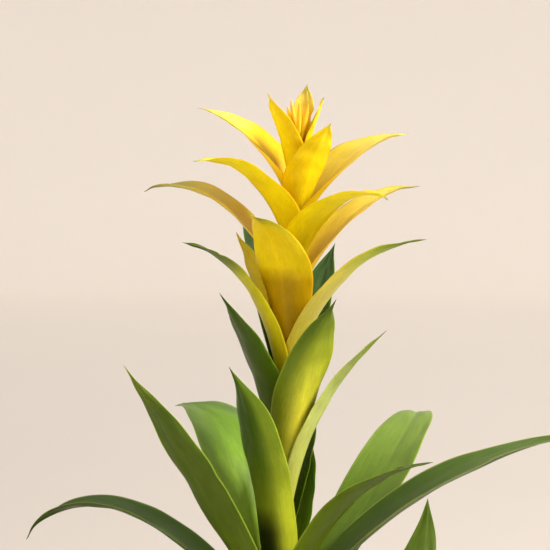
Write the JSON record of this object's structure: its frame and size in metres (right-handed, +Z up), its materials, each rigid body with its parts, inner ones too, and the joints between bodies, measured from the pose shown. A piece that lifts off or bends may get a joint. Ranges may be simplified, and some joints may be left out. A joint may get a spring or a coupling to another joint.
{
  "type": "potted bromeliad",
  "caption": "Potted bromeliad: a funnel of arching strap leaves round an upright flower stalk, with a star of pointed yellow bracts at the top, in a plain round tapered pot.",
  "frame": {"origin": "The middle of the pot's flat underside, on the surface that it stands on.", "axes": "+Z is up along the stalk, +X is to the right seen from the front, and -Y is the front."},
  "size_m": [0.4619, 0.3954, 0.5172],
  "materials": {
    "pot": "matte",
    "mix": "matte",
    "stalk": "satin",
    "leaf": "satin",
    "scape": "satin",
    "bract": "satin",
    "bud": "satin"
  },
  "bodies": {
    "root": {"pot": "pot", "potting_mix": "mix", "flower_stalk": "stalk", "flower_bract_01": "bract", "flower_bract_02": "bract", "flower_bract_03": "bract", "flower_bract_04": "bract", "flower_bract_05": "bract", "flower_bract_06": "bract", "flower_bract_07": "bract", "flower_bract_08": "bract", "flower_bract_09": "bract", "flower_bract_10": "bract", "flower_bract_11": "bract", "scape_bract_01": "scape", "scape_bract_02": "scape", "scape_bract_03": "scape", "scape_bract_04": "scape", "scape_bract_05": "scape", "scape_bract_06": "scape", "scape_bract_07": "scape", "scape_bract_08": "scape", "scape_bract_09": "scape", "scape_bract_10": "scape", "scape_bract_11": "scape", "scape_bract_12": "scape", "rosette_leaf_01": "leaf", "rosette_leaf_02": "leaf", "rosette_leaf_03": "leaf", "rosette_leaf_04": "leaf", "rosette_leaf_05": "leaf", "rosette_leaf_06": "leaf", "rosette_leaf_07": "leaf", "rosette_leaf_08": "leaf", "rosette_leaf_09": "leaf", "rosette_leaf_10": "leaf", "rosette_leaf_11": "leaf", "rosette_leaf_12": "leaf", "rosette_leaf_13": "leaf", "flower_bud_1": "bud", "flower_bud_2": "bud", "flower_bud_3": "bud", "flower_bud_4": "bud"}
  },
  "joints": []
}
